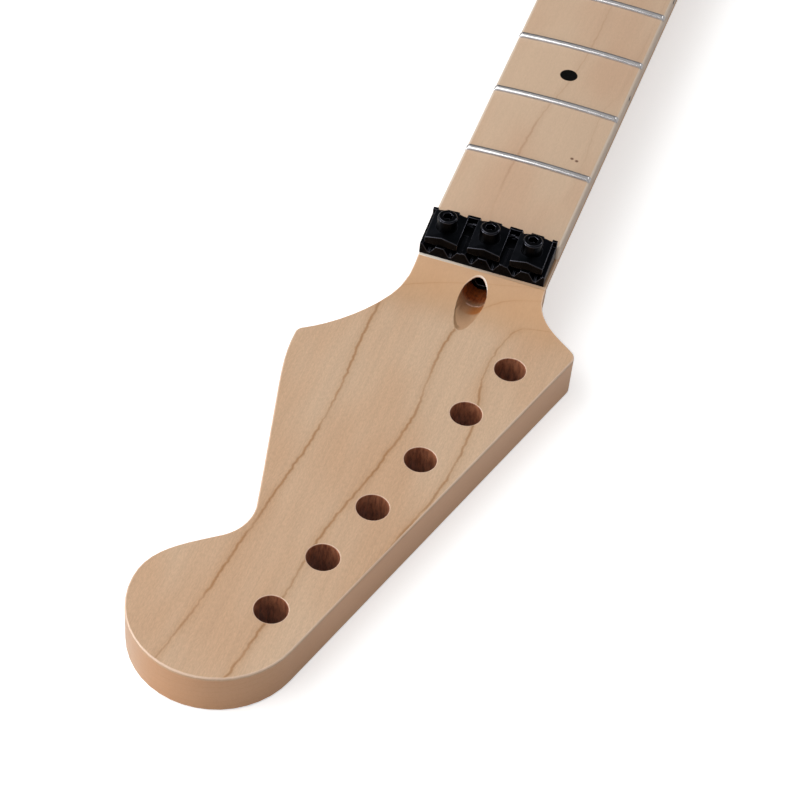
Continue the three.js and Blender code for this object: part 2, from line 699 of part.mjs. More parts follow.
function makeClamp(i) {
  const y = clampY(i);
  const half = padWidth / 2;
  const floor = seatAt(clampX, i) + fitGap;
  const edge = floor + padEdgeThickness;
  const ridge = edge + padRidgeRise;
  const gable = polygon([[y - half, floor], [y + half, floor], [y + half, edge], [y, ridge], [y - half, edge]]);
  const padBackX = clampX - padLength / 2;
  const headSeat = ridge - clampHeadRecess;
  const above = ridge + padLength;
  let pad = solid(lean(prismAlong(gable, padBackX, padBackX + padLength), seatAngle, clampX));
  pad = pad.subtract(postUp(clampX, y, 0, above, clampScrewRadius + touchGap, pinSides));
  pad = pad.subtract(postUp(clampX, y, headSeat, above, clampHeadRadius + fitGap));
  addNutPiece("clamp_pad_" + clampNames[i], pad);

  const headLow = headSeat + seatGap;
  const headTop = headLow + clampHeadHeight;
  const neckZ = headTop - clampHeadChamfer;
  const faceRadius = clampHeadRadius - clampHeadChamfer;
  let screw = postUp(clampX, y, headLow, neckZ, clampHeadRadius);
  screw = screw.add(postUp(clampX, y, neckZ, headTop, clampHeadRadius, holeSides, faceRadius));
  screw = screw.add(postUp(clampX, y, headLow - clampScrewLength, neckZ, clampScrewRadius, pinSides));
  const key = prism(hexShape(clampKeyFlats), clampSocketDepth + overrun);
  screw = screw.subtract(solid(key.translate(clampX, y, headTop - clampSocketDepth)));
  addNutPiece("clamp_screw_" + clampNames[i], screw);
}

makeNeckBlank();
makeFretboard();
for (let n = 1; n <= fretCount; n++) makeFret(n);
makeMarkers();
makeTrussRod();
makeNutBase();
makeNutScrew(-1, "nut_screw_treble");
makeNutScrew(1, "nut_screw_bass");
for (let i = 0; i < clampNames.length; i++) makeClamp(i);

export default group;
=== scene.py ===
import math

import bmesh
import bpy
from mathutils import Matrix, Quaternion, Vector


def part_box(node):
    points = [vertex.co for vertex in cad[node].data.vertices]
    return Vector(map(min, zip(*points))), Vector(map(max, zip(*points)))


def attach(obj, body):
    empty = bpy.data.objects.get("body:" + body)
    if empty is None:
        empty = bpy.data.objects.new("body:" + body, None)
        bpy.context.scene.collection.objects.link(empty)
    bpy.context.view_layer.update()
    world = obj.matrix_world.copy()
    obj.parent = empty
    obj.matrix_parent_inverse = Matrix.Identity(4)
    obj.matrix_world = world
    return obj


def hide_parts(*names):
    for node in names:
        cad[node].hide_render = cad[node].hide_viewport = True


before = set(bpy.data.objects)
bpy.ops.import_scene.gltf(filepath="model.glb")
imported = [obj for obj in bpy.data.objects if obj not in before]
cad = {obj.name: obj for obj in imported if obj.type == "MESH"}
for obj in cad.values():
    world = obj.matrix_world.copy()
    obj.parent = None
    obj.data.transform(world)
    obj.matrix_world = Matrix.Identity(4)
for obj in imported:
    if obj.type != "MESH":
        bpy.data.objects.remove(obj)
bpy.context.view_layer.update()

mm = 0.001
board_low, board_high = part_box("fretboard")
nut_x = board_high.x
glue_z = board_low.z
board_top_z = board_high.z


# The studio. The camera stands over the headstock and looks back along the neck, as in the photograph. A
# large soft box lights the treble side, a small low one grazes the tip, and a third lifts the bass side.
lens = 103.2
camera_roll = math.radians(5.92)
camera_past_nut = 548.1 * mm
camera_aside = 113.9 * mm
camera_rise = 505.7 * mm
target_past_nut = 85 * mm
target_aside = -4.9 * mm
camera_place = Vector((nut_x + camera_past_nut, camera_aside, board_top_z + camera_rise))
camera_target = Vector((nut_x + target_past_nut, target_aside, board_top_z))

key_direction = (0.3, -0.75, 0.82)
key_distance = 1.5
key_width = 2.2
key_height = 1.5
key_share = 0.95
low_direction = (0.38, -0.92, 0.13)
low_distance = 1.4
low_size = 0.28
low_share = 0.3
fill_direction = (-0.7, 0.65, 0.45)
fill_distance = 1.8
fill_size = 0.6
fill_share = 0.13

camera_data = bpy.data.cameras.new("photo_camera")
camera_data.lens = lens
camera = bpy.data.objects.new("photo_camera", camera_data)
camera.location = camera_place
upright = (camera_target - camera_place).to_track_quat("-Z", "Y")
camera.rotation_mode = "QUATERNION"
camera.rotation_quaternion = upright @ Quaternion((0, 0, 1), camera_roll)
bpy.context.scene.collection.objects.link(camera)
bpy.context.scene.camera = camera


def soft_box(name, direction, distance, width, height, light_share):
    """An area lamp that looks at the headstock; light_share is what it adds on a face square to it."""
    data = bpy.data.lights.new(name, "AREA")
    data.shape = "RECTANGLE"
    data.size = width
    data.size_y = height
    data.energy = light_share * (math.pi * distance) ** 2
    lamp = bpy.data.objects.new(name, data)
    towards = Vector(direction).normalized()
    lamp.location = camera_target + towards * distance
    lamp.rotation_mode = "QUATERNION"
    lamp.rotation_quaternion = towards.to_track_quat("Z", "Y")
    bpy.context.scene.collection.objects.link(lamp)


soft_box("key_soft_box", key_direction, key_distance, key_width, key_height, key_share)
soft_box("low_soft_box", low_direction, low_distance, low_size, low_size, low_share)
soft_box("fill_soft_box", fill_direction, fill_distance, fill_size, fill_size, fill_share)
bpy.context.scene.view_settings.view_transform = "Standard"


def srgb(red, green, blue):
    """A colour as it looks on screen, 0 to 255, in the linear values that shaders take."""

    def linear(value):
        share = value / 255
        return share / 12.92 if share <= 0.04045 else ((share + 0.055) / 1.055) ** 2.4

    return (linear(red), linear(green), linear(blue), 1)


class Shader:
    """A material's or group's node tree, with short calls for the nodes that these finishes are made of."""

    def __init__(self, tree):
        self.tree = tree

    def fill(self, socket, value):
        if isinstance(value, bpy.types.NodeSocket):
            self.tree.links.new(value, socket)
        else:
            socket.default_value = value

    def node(self, kind, inputs=None, **settings):
        made = self.tree.nodes.new(kind)
        for name, value in settings.items():
            setattr(made, name, value)
        for name, value in (inputs or {}).items():
            self.fill(made.inputs[name], value)
        return made

    def math(self, operation, *values):
        made = self.node("ShaderNodeMath", operation=operation)
        for socket, value in zip(made.inputs, values):
            self.fill(socket, value)
        return made.outputs[0]

    def add(self, *values):
        total = values[0]
        for value in values[1:]:
            total = self.math("ADD", total, value)
        return total

    def times(self, *values):
        total = values[0]
        for value in values[1:]:
            total = self.math("MULTIPLY", total, value)
        return total

    def less(self, value, taken):
        return self.math("SUBTRACT", value, taken)

    def nearest_of(self, *values):
        least = values[0]
        for value in values[1:]:
            least = self.math("MINIMUM", least, value)
        return least

    def fade(self, value, start, end, low=0.0, high=1.0):
        """A soft step: low before start, high after end."""
        made = self.node("ShaderNodeMapRange", interpolation_type="SMOOTHSTEP", clamp=True)
        for socket, entry in zip(made.inputs, (value, start, end, low, high)):
            self.fill(socket, entry)
        return made.outputs[0]

    def band(self, value, start, end, soft):
        """1 between start and end, with a soft step at both sides."""
        return self.times(self.fade(value, start - soft, start), self.fade(value, end, end + soft, 1, 0))

    def mix(self, share, first, second):
        made = self.node("ShaderNodeMix", data_type="RGBA", clamp_factor=True)
        self.fill(made.inputs[0], share)
        self.fill(made.inputs[6], first)
        self.fill(made.inputs[7], second)
        return made.outputs[2]

    def noise(self, place, scale, detail=2.0, roughness=0.5):
        entries = {"Vector": place, "Scale": scale, "Detail": detail, "Roughness": roughness}
        return self.node("ShaderNodeTexNoise", entries).outputs[0]

    def stretched(self, place, factors):
        return self.node("ShaderNodeMapping", {"Vector": place, "Scale": factors}).outputs[0]

    def parts(self, vector):
        made = self.node("ShaderNodeSeparateXYZ", {"Vector": vector})
        return made.outputs[0], made.outputs[1], made.outputs[2]

    def length(self, *sides):
        squares = [self.times(side, side) for side in sides]
        return self.math("SQRT", self.add(*squares))

    def curve(self, value, points, reach):
        """A smooth line drawn through (along, across) points, where across lies between -reach and reach."""
        first, last = points[0][0], points[-1][0]
        placed = [((x - first) / (last - first), (y + reach) / (2 * reach)) for x, y in points]
        made = self.node("ShaderNodeFloatCurve")
        line = made.mapping.curves[0]
        line.points[0].location = placed[0]
        line.points[-1].location = placed[-1]
        for place in placed[1:-1]:
            line.points.new(*place)
        made.mapping.update()
        share = self.node("ShaderNodeMapRange", clamp=True)
        for socket, entry in zip(share.inputs, (value, first, last, 0.0, 1.0)):
            self.fill(socket, entry)
        self.fill(made.inputs["Value"], share.outputs[0])
        return self.less(self.times(made.outputs[0], 2 * reach), reach)

    def group(self, name, inputs):
        return self.node("ShaderNodeGroup", inputs, node_tree=bpy.data.node_groups[name])


def new_material(name):
    """A new material: its Shader, its Principled BSDF node and the material itself."""
    material = bpy.data.materials.new(name)
    material.use_nodes = True
    return Shader(material.node_tree), material.node_tree.nodes["Principled BSDF"], material


def new_group(name, inputs, outputs):
    """A shader node group with named sockets: its Shader, its inputs by name and its output node."""
    tree = bpy.data.node_groups.new(name, "ShaderNodeTree")
    for in_out, sockets in (("INPUT", inputs), ("OUTPUT", outputs)):
        for socket, kind in sockets.items():
            tree.interface.new_socket(name=socket, in_out=in_out, socket_type="NodeSocket" + kind)
    entry = tree.nodes.new("NodeGroupInput")
    return Shader(tree), entry.outputs, tree.nodes.new("NodeGroupOutput")


def paint(piece, material):
    piece.data.materials.clear()
    piece.data.materials.append(material)


# The air is white to the camera. As light it is dimmer, and darkest behind the heel, which is what the nut's
# faces mirror.
treble_air_share = 0.56
bass_air_share = 0.42
heel_air_treble_share = 0.16
heel_air_bass_share = 0.5
white = (1, 1, 1, 1)
world = bpy.data.worlds.new("studio_air")
world.use_nodes = True
air = Shader(world.node_tree)
to_headstock, to_bass, _ = air.parts(air.node("ShaderNodeTexCoord").outputs["Generated"])
side_light = air.fade(to_bass, -0.9, 0.6, treble_air_share, bass_air_share)
heel_light = air.fade(to_bass, -0.35, 0.1, heel_air_treble_share, heel_air_bass_share)
heel_shade = air.fade(to_headstock, -0.85, -0.45, heel_light, 1)
air_seen = air.node("ShaderNodeLightPath").outputs["Is Camera Ray"]
background = world.node_tree.nodes["Background"]
background.inputs["Color"].default_value = white
air.fill(background.inputs["Strength"], air.math("MAXIMUM", air_seen, air.times(side_light, heel_shade)))
bpy.context.scene.world = world

# The floor is pale paper, and a little paler to the camera, so that it meets the white air without an edge.
floor_size = 14
floor_drop = 0.2 * mm
floor_glow_share = 0.42
lit_paper = (0.62, 0.61, 0.6, 1)
seen_paper = (0.95, 0.95, 0.95, 1)
shape = bmesh.new()
bmesh.ops.create_grid(shape, x_segments=1, y_segments=1, size=floor_size / 2)
floor_mesh = bpy.data.meshes.new("studio_floor")
shape.to_mesh(floor_mesh)
shape.free()
floor = bpy.data.objects.new("studio_floor", floor_mesh)
floor.location.z = -floor_drop
bpy.context.scene.collection.objects.link(floor)
ground, floor_shader, floor_finish = new_material("pale_floor")
floor_seen = ground.node("ShaderNodeLightPath").outputs["Is Camera Ray"]
ground.fill(floor_shader.inputs["Base Color"], ground.mix(floor_seen, lit_paper, seen_paper))
ground.fill(floor_shader.inputs["Emission Strength"], ground.times(floor_seen, floor_glow_share))
floor_shader.inputs["Emission Color"].default_value = white
floor_shader.inputs["Roughness"].default_value = 0.9
floor_shader.inputs["Specular IOR Level"].default_value = 0.1
paint(floor, floor_finish)


# The neck blank: one board of hard maple, sawn to its outline, planed at the headstock, bored and scooped
# for the truss rod's key, and carved round behind. Its edges are eased by hand before a thin satin finish
# goes on.
face_z = 14.8 * mm
hole_radius = 5 * mm
hole_pitch = 24.5 * mm
hole_row_angle = math.radians(-17)
hole_count = 6
first_hole_past_nut = 49.5 * mm
first_hole_aside = 20.6 * mm
nut_depth = 13.9 * mm
shelf_length = 15 * mm
bore_drop = 5.5 * mm
bore_radius = 4.5 * mm
bore_past_nut = 22 * mm
scoop_past_nut = 39.6 * mm
curve_foot_past_nut = 31.44 * mm
curve_radius = 31.7 * mm

first_hole = Vector((nut_x + first_hole_past_nut, first_hole_aside))
along_row = Vector((math.cos(hole_row_angle), math.sin(hole_row_angle)))
hole_centres = [first_hole + along_row * hole_pitch * i for i in range(hole_count)]
shelf_end_x = nut_x + shelf_length
bore_z = glue_z - bore_drop
bore_end_x = nut_x + bore_past_nut
scoop_end_x = nut_x + scoop_past_nut
curve_foot_x = nut_x + curve_foot_past_nut
curve_axis_z = face_z + curve_radius

weld = 0.002 * mm
sliver = 0.0005 * mm
flat = math.radians(0.4)
sharp = math.radians(30)
smooth_below = math.radians(40)


def cad_copy(node):
    """A copy of a solid's mesh, with its loose triangles joined and its flats made whole."""
    shape = bmesh.new()
    shape.from_mesh(cad[node].data)
    bmesh.ops.remove_doubles(shape, verts=shape.verts, dist=weld)
    bmesh.ops.dissolve_limit(shape, angle_limit=flat, verts=shape.verts, edges=shape.edges)
    return shape


def sharp_edges(shape, wanted=None):
    found = []
    for edge in shape.edges:
        if len(edge.link_faces) == 2 and edge.calc_face_angle() > sharp:
            middle = (edge.verts[0].co + edge.verts[1].co) / 2
            if wanted is None or wanted(middle):
                found.append(edge)
    return found


def ease(shape, edges, width, segments):
    """Rounds edges over and marks the new faces, so that a finish can paint highlights and glints on them.
    """
    eased = shape.faces.layers.float.get("eased") or shape.faces.layers.float.new("eased")
    options = {"segments": segments, "profile": 0.5, "affect": "EDGES", "material": -1}
    made = bmesh.ops.bevel(shape, geom=edges, offset=width, offset_type="OFFSET", **options)
    for face in made["faces"]:
        face[eased] = 1


def place_piece(shape, name, body, material, replaced):
    """Turns a bmesh into a finished piece that rides on its body and stands for its solids."""
    bmesh.ops.dissolve_degenerate(shape, dist=sliver, edges=shape.edges)
    mesh = bpy.data.meshes.new(name)
    shape.to_mesh(mesh)
    shape.free()
    mesh.shade_smooth()
    mesh.set_sharp_from_angle(angle=smooth_below)
    piece = bpy.data.objects.new(name, mesh)
    bpy.context.scene.collection.objects.link(piece)
    shading = piece.modifiers.new("even_shading", "WEIGHTED_NORMAL")
    shading.keep_sharp = True
    paint(piece, material)
    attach(piece, body)
    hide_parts(*replaced)
    return piece


# Maple's growth rings, in the plain-sawn board, and the flecks of its close grain. Ring Distance is how far,
# in millimetres, a point lies from the nearest ring line. A line has a dark core that comes and goes, and a
# wide pale halo.
halo_reach = 5.0
halo_share = 0.22
faint_core_share = 0.45
pore_height_share = 0.6
flecks, entry, leave = new_group(
    "maple_figure",
    {
        "Place": "Vector",
        "Ring Distance": "Float",
        "Line Width": "Float",
        "Line Strength": "Float",
        "Fleck Strength": "Float",
        "Light Tone": "Color",
        "Warm Tone": "Color",
        "Line Tone": "Color",
    },
    {"Color": "Color", "Height": "Float"},
)
place = entry["Place"]
long_blotch = flecks.noise(flecks.stretched(place, (0.35, 1, 1)), scale=45, detail=2)
tone = flecks.mix(flecks.fade(long_blotch, 0.35, 0.68), entry["Light Tone"], entry["Warm Tone"])
streaks = flecks.noise(flecks.stretched(place, (0.05, 1, 1)), scale=900, detail=3, roughness=0.6)
pores = flecks.noise(flecks.stretched(place, (0.3, 1, 1)), scale=2300, detail=2, roughness=0.7)
streak_shade = flecks.fade(streaks, 0.3, 0.7, 0.965, 1.03)
pore_shade = flecks.fade(pores, 0.3, 0.7, 0.93, 1.06)
fleck_shade = flecks.less(flecks.times(streak_shade, pore_shade), 1.0)
fleck_share = flecks.add(1.0, flecks.times(fleck_shade, entry["Fleck Strength"]))
patches = flecks.noise(flecks.stretched(place, (0.5, 1, 1)), scale=110)
line_patch = flecks.fade(patches, 0.3, 0.6, faint_core_share, 1)
core_width = flecks.times(entry["Line Width"], flecks.fade(line_patch, faint_core_share, 1, 0.75, 1.2))
core = flecks.fade(entry["Ring Distance"], 0.0, core_width, 1, 0)
halo_width = flecks.times(entry["Line Width"], halo_reach)
halo = flecks.fade(entry["Ring Distance"], 0.0, halo_width, halo_share, 0)
line = flecks.times(flecks.add(flecks.times(core, line_patch), halo), entry["Line Strength"])
grain = flecks.mix(line, tone, entry["Line Tone"])
shade = flecks.node("ShaderNodeCombineXYZ", {0: fleck_share, 1: fleck_share, 2: fleck_share}).outputs[0]
tinted = flecks.node("ShaderNodeVectorMath", {0: grain, 1: shade}, operation="MULTIPLY")
flecks.fill(leave.inputs["Color"], tinted.outputs[0])
flecks.fill(leave.inputs["Height"], flecks.less(flecks.times(pores, pore_height_share), line))


def wander(shader, place, stretch, scale, wave, jitter):
    """How far, in millimetres, a ring line strays from its drawn course: a long wave and a fine jitter."""
    long_wave = shader.noise(shader.stretched(place, (stretch, 1, 1)), scale=scale, detail=1)
    fine_wave = shader.noise(shader.stretched(place, (1, 0.2, 0.2)), scale=420, detail=3)
    return shader.times(shader.less(long_wave, 0.5), wave), shader.times(shader.less(fine_wave, 0.5), jitter)


# The board's own rings rise towards the bass side, so each shows on the face as one long line that swings
# across where the face curves up to the nut. Three cross the headstock: they are drawn from points along
# them, in millimetres past the nut and out from the centre line. in_mm turns metres into millimetres.
in_mm = 1000
ring_reach = 60
ring_rise = 10
ring_spacing = 23.0
ring_gap = 0.01
ring_wave = 1.6
ring_jitter = 1.5
treble_ring = [
    (10, -26),
    (26, -26.4),
    (36, -27.3),
    (48, -27.5),
    (89, -26.4),
    (136, -31),
    (183, -37),
    (205, -41.5),
]
middle_ring = [
    (10, -4),
    (20, -5),
    (25, 0),
    (28, 1.7),
    (37, -0.2),
    (42, -1.6),
    (62, -2.0),
    (78, -1.2),
    (97, -3.7),
    (138, -11.6),
    (160, -13.6),
    (205, -20.2),
]
bass_ring = [
    (10, 32),
    (26, 31),
    (27.7, 29),
    (29.4, 22),
    (31, 18.4),
    (36, 15.9),
    (55, 13.9),
    (75, 16.9),
    (88, 16.6),
    (108, 14.7),
    (128, 10),
    (205, -6),
]

wood, wood_shader, neck_maple = new_material("satin_maple")
place = wood.node("ShaderNodeTexCoord").outputs["Object"]
x, y, z = wood.parts(place)
past_nut = wood.times(wood.less(x, nut_x), in_mm)
rise = wood.times(wood.less(z, face_z), in_mm)
wave, jitter = wander(wood, place, stretch=0.4, scale=60, wave=ring_wave, jitter=ring_jitter)
across = wood.add(wood.less(wood.times(y, in_mm), wood.times(rise, ring_rise)), wave, jitter)
from_treble = wood.less(across, wood.curve(past_nut, treble_ring, ring_reach))
from_middle = wood.less(across, wood.curve(past_nut, middle_ring, ring_reach))
from_bass = wood.less(across, wood.curve(past_nut, bass_ring, ring_reach))
half_spacing = ring_spacing / 2
past_treble = wood.math("MINIMUM", from_treble, half_spacing - ring_gap)
past_bass = wood.math("MAXIMUM", from_bass, ring_gap - half_spacing)
outer_treble = wood.math("WRAP", past_treble, half_spacing, -half_spacing)
outer_bass = wood.math("WRAP", past_bass, half_spacing, -half_spacing)
distances = [wood.math("ABSOLUTE", off) for off in (outer_treble, from_middle, outer_bass)]

# Below the face are the walls, where the rings only show faintly, and the bore and its scoop, where they
# don't. The rings also stop short of the nut.
skin_start = 0.08 * mm
skin_end = 0.3 * mm
channel_half = 6 * mm
channel_soft = 0.5 * mm
channel_fade_x = scoop_end_x + 1 * mm
channel_end_x = scoop_end_x + 4 * mm
wall_start = -0.6
wall_full = -1.6
ring_share = 0.62
ring_share_lost_on_wall = 0.22
ring_stop = 16.8
ring_full = 18.6
ring_stop_slant = 150
up_curve = wood.less(wood.math("MINIMUM", x, curve_foot_x), curve_foot_x)
drop = wood.math("SQRT", wood.less(curve_radius**2, wood.times(up_curve, up_curve)))
under_skin = wood.less(wood.less(curve_axis_z, drop), z)
in_channel = wood.times(
    wood.fade(under_skin, skin_start, skin_end),
    wood.band(y, -channel_half, channel_half, channel_soft),
    wood.fade(x, channel_end_x, channel_fade_x),
)
not_channel = wood.less(1.0, in_channel)
on_wall = wood.times(wood.fade(rise, wall_start, wall_full), not_channel)
off_nut = wood.fade(wood.add(past_nut, wood.times(y, ring_stop_slant)), ring_stop, ring_full)
line_strength = wood.less(ring_share, wood.times(on_wall, ring_share_lost_on_wall))
figure = wood.group(
    "maple_figure",
    {
        "Place": place,
        "Ring Distance": wood.nearest_of(*distances),
        "Line Width": 0.62,
        "Line Strength": wood.times(line_strength, not_channel, off_nut),
        "Fleck Strength": 1.15,
        "Light Tone": srgb(204, 173, 143),
        "Warm Tone": srgb(199, 162, 129),
        "Line Tone": srgb(152, 101, 46),
    },
)
# The walls are painted a darker orange: partly the wood's own colour on its sawn walls, partly painted
# shade.
wall_share = 0.45
wall_grain_and_shade_tone = srgb(197, 141, 94)
colour = wood.mix(wood.times(on_wall, wall_share), figure.outputs["Color"], wall_grain_and_shade_tone)

# The face is painted a darker amber where it curves up to the nut, as painted shade, and the channel darker
# still, with a painted shadow along its treble edge. Against the nut lies a pale strip, partly bare wood and
# partly a painted highlight that fades towards the bass side.
amber_end = 42
amber_full = 22
amber_depth = 2 * mm
amber_shade_share = 0.7
amber_shade_tone = srgb(197, 150, 105)
channel_shade_share = 0.7
channel_shade_tone = srgb(176, 132, 94)
edge_start = 0.15 * mm
edge_end = 0.7 * mm
edge_soft = 0.15 * mm
edge_bass_y = 0.5 * mm
edge_treble_y = -1 * mm
edge_shadow_share = 0.6
edge_shadow_tone = srgb(116, 84, 46)
bare_soft = 0.25 * mm
bare_low = 0.8 * mm
bare_high = 0.3 * mm
bare_bass_y = 12 * mm
bare_treble_y = -20 * mm
bare_bass_share = 0.2
bare_and_lit_tone = srgb(238, 228, 214)
curve_shade = wood.fade(past_nut, amber_end, amber_full)
near_face = wood.fade(z, face_z - amber_depth, face_z)
colour = wood.mix(wood.times(curve_shade, near_face, amber_shade_share), colour, amber_shade_tone)
# Painted shade in the channel, and a painted shadow along its treble edge.
colour = wood.mix(wood.times(in_channel, channel_shade_share), colour, channel_shade_tone)
below_rim = wood.band(under_skin, edge_start, edge_end, edge_soft)
channel_edge_shadow = wood.times(below_rim, wood.fade(y, edge_bass_y, edge_treble_y))
colour = wood.mix(wood.times(channel_edge_shadow, in_channel, edge_shadow_share), colour, edge_shadow_tone)
# The pale strip by the nut: partly bare wood, partly a painted highlight that fades towards the bass side.
by_nut = wood.band(x, nut_x + nut_depth, shelf_end_x, bare_soft)
shelf_high = wood.fade(z, glue_z - bare_low, glue_z - bare_high)
bare_and_lit_strip = wood.times(by_nut, shelf_high, wood.fade(y, bare_bass_y, bare_treble_y, bare_bass_share, 1))
colour = wood.mix(bare_and_lit_strip, colour, bare_and_lit_tone)

# How far a point lies from the nearest tuner hole's axis, and from the bore's.
row = wood.node("ShaderNodeMapping", vector_type="TEXTURE")
row.inputs["Location"].default_value = (first_hole.x, first_hole.y, 0)
row.inputs["Rotation"].default_value = (0, 0, hole_row_angle)
wood.fill(row.inputs["Vector"], place)
row_x, row_y, _ = wood.parts(row.outputs[0])
last_hole = hole_pitch * (hole_count - 1)
in_row = wood.math("MINIMUM", wood.math("MAXIMUM", row_x, 0.0), last_hole)
near_post = wood.times(wood.math("ROUND", wood.math("DIVIDE", in_row, hole_pitch)), hole_pitch)
from_hole = wood.length(wood.less(row_x, near_post), row_y)
from_bore = wood.length(y, wood.less(z, bore_z))

# The wall along the tuners is side grain, painted paler: partly its own tone, partly painted light from the
# bass side. Round the tip, away from the treble side, the end grain is painted a darker amber: partly the
# finish it drinks, partly painted shade.
side_grain_fade = 15 * mm
side_grain_start = 3 * mm
side_grain_full = 9 * mm
side_grain_share = 0.5
side_grain_light_tone = srgb(232, 177, 134)
end_grain_start = -50 * mm
end_grain_full = -36 * mm
end_grain_share = 0.35
end_grain_shade_tone = srgb(199, 129, 62)
by_tuners = wood.fade(row_x, last_hole + side_grain_fade, last_hole - side_grain_fade)
side_grain_and_light = wood.times(by_tuners, wood.fade(row_y, side_grain_start, side_grain_full))
end_grain_and_shade = wood.times(wood.less(1.0, side_grain_and_light), wood.fade(y, end_grain_start, end_grain_full))
colour = wood.mix(wood.times(on_wall, side_grain_and_light, side_grain_share), colour, side_grain_light_tone)
colour = wood.mix(wood.times(on_wall, end_grain_and_shade, end_grain_share), colour, end_grain_shade_tone)

# Inside the drilled holes the cut end grain drinks the finish and turns red-brown, painted darker still as
# painted shade; in the bore it is a deeper orange-red, painted shade and painted warm bounce light.
cut_start = 0.02 * mm
cut_end = 0.12 * mm
bore_fade = 3.5 * mm
in_hole = wood.fade(from_hole, hole_radius + cut_start, hole_radius + cut_end, 1, 0)
deep = wood.fade(x, bore_end_x, bore_end_x - bore_fade, 0, 1)
in_bore = wood.times(wood.fade(from_bore, bore_radius + cut_start, bore_radius + cut_end, 1, 0), deep)
cut_grain_and_shade = wood.math("MAXIMUM", in_hole, in_bore)
cut_streaks = wood.noise(wood.stretched(place, (1, 1, 0.25)), scale=1100, detail=3, roughness=0.7)
streak_mask = wood.fade(cut_streaks, 0.3, 0.7)
hole_grain_and_shade_tone = wood.mix(streak_mask, srgb(120, 66, 44), srgb(178, 118, 86))
bore_grain_and_shade_tone = wood.mix(streak_mask, srgb(112, 46, 14), srgb(168, 92, 40))
colour = wood.mix(cut_grain_and_shade, colour, wood.mix(in_bore, hole_grain_and_shade_tone, bore_grain_and_shade_tone))

# Where the bore breaks out into the scoop: a painted amber shadow just in front of the bore's end, a painted
# highlight along that end's edge, and a painted highlight round the mouth's rim.
scoop_shadow_low_x = nut_x + 22.8 * mm
scoop_shadow_high_x = nut_x + 27 * mm
scoop_shadow_soft = 1.5 * mm
scoop_shadow_treble_y = -2 * mm
scoop_shadow_bass_y = 1.5 * mm
scoop_shadow_tone = srgb(172, 104, 48)
bore_edge_low_x = nut_x + 21.4 * mm
bore_edge_high_x = nut_x + 22.3 * mm
bore_edge_soft_x = 0.4 * mm
bore_edge_low_y = -2 * mm
bore_edge_high_y = 3.4 * mm
bore_edge_soft_y = 0.6 * mm
bore_edge_highlight_share = 0.9
bore_edge_highlight_tone = srgb(242, 204, 186)
rim_start = 0.08 * mm
rim_width = 0.3 * mm
rim_soft = 0.1 * mm
rim_soft_x = 1 * mm
rim_reach_y = 3 * mm
rim_treble_share = 0.25
rim_highlight_share = 0.95
rim_highlight_tone = srgb(248, 234, 220)
scoop_shadow = wood.times(in_channel, wood.band(x, scoop_shadow_low_x, scoop_shadow_high_x, scoop_shadow_soft))
scoop_shadow_mask = wood.fade(y, scoop_shadow_treble_y, scoop_shadow_bass_y, 0.25, 0.9)
colour = wood.mix(wood.times(scoop_shadow, scoop_shadow_mask), colour, scoop_shadow_tone)
# A painted highlight along the bore's end, broken up by the cut streaks.
bore_edge_highlight = wood.times(
    in_channel,
    wood.band(x, bore_edge_low_x, bore_edge_high_x, bore_edge_soft_x),
    wood.band(y, bore_edge_low_y, bore_edge_high_y, bore_edge_soft_y),
    wood.fade(cut_streaks, 0.35, 0.55),
)
colour = wood.mix(wood.times(bore_edge_highlight, bore_edge_highlight_share), colour, bore_edge_highlight_tone)
# A painted highlight round the mouth's rim, strongest on the bass side.
mouth_rim_highlight = wood.times(
    wood.band(from_bore, bore_radius + rim_start, bore_radius + rim_width, rim_soft),
    wood.band(x, shelf_end_x, bore_end_x, rim_soft_x),
    wood.fade(y, -rim_reach_y, rim_reach_y, rim_treble_share, 1),
)
colour = wood.mix(wood.times(mouth_rim_highlight, rim_highlight_share), colour, rim_highlight_tone)

# Edges that the hand has eased carry a painted highlight. The finish is thin and satin, and a little thicker
# on the walls.
eased_highlight_share = 0.45
eased_highlight_tone = srgb(240, 214, 194)
eased_highlight = wood.node("ShaderNodeAttribute", attribute_name="eased").outputs["Fac"]
colour = wood.mix(wood.times(eased_highlight, wood.less(1.0, cut_grain_and_shade), eased_highlight_share), colour, eased_highlight_tone)
wood.fill(wood_shader.inputs["Base Color"], colour)
wood_shader.inputs["Roughness"].default_value = 0.5
wood_shader.inputs["Specular IOR Level"].default_value = 0.4
wood.fill(wood_shader.inputs["Coat Weight"], wood.add(wood.times(on_wall, 0.4), 0.5))
wood_shader.inputs["Coat Roughness"].default_value = 0.3
grain_relief = 0.1 * mm
bump_height = wood.add(figure.outputs["Height"], wood.times(cut_streaks, cut_grain_and_shade, 3.0))
bump = wood.node("ShaderNodeBump", {"Strength": 0.12, "Distance": grain_relief, "Height": bump_height})
wood.fill(wood_shader.inputs["Normal"], bump.outputs[0])

hole_slack = 0.1 * mm
glue_slack = 0.01 * mm
nut_slack = 0.1 * mm
shelf_slack = 0.05 * mm
shelf_half = 20 * mm
channel_low_z = 2 * mm
scoop_slack = 2 * mm
pilot_low_x = -30 * mm
pilot_high_x = 40 * mm
pilot_half = 22 * mm
hole_ease = 0.3 * mm
outline_ease = 0.45 * mm


def by_hole(point):
    return any((point.xy - centre).length < hole_radius + hole_slack for centre in hole_centres)


def on_outline(point):
    """True for all edges but those under the board, on the shelf, in the channel and at the holes."""
    under_board = abs(point.z - glue_z) < glue_slack and point.x < nut_x + nut_slack
    shelf = abs(point.z - glue_z) < shelf_slack and abs(point.y) < shelf_half
    over_back = point.z > channel_low_z and point.x < scoop_end_x + scoop_slack
    channel = over_back and abs(point.y) < channel_half
    pilots = pilot_low_x < point.x < pilot_high_x and abs(point.y) < pilot_half
    return not (under_board or shelf or channel or pilots or by_hole(point))


